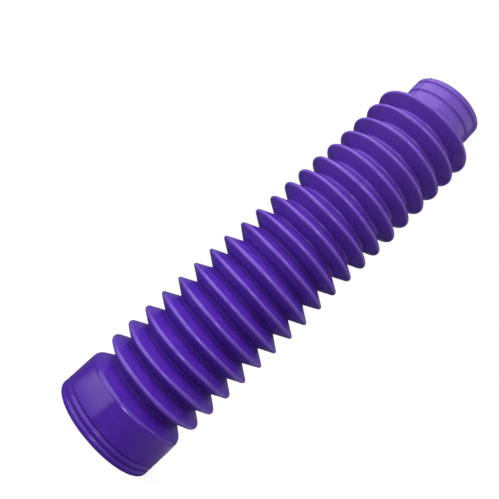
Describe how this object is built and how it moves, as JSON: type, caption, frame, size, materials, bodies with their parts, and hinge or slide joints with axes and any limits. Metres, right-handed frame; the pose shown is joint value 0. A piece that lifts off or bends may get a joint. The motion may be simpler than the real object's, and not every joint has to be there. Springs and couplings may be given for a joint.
{
  "type": "fork gaiter",
  "caption": "Purple soft PVC fork gaiter: a ribbed bellows tube, open at both ends, with a wide collar and a narrow neck that shield a motorbike's fork tube.",
  "frame": {"origin": "middle of the wide collar's open end, on the axis", "axes": "+Z along the axis, from the wide collar up to the narrow neck; +X and +Y are alike, because the part is round"},
  "size_m": [0.0616, 0.0616, 0.2438],
  "materials": {
    "soft_pvc": "satin moulded purple soft PVC"
  },
  "bodies": {
    "root": {"gaiter": "soft_pvc"}
  },
  "joints": []
}
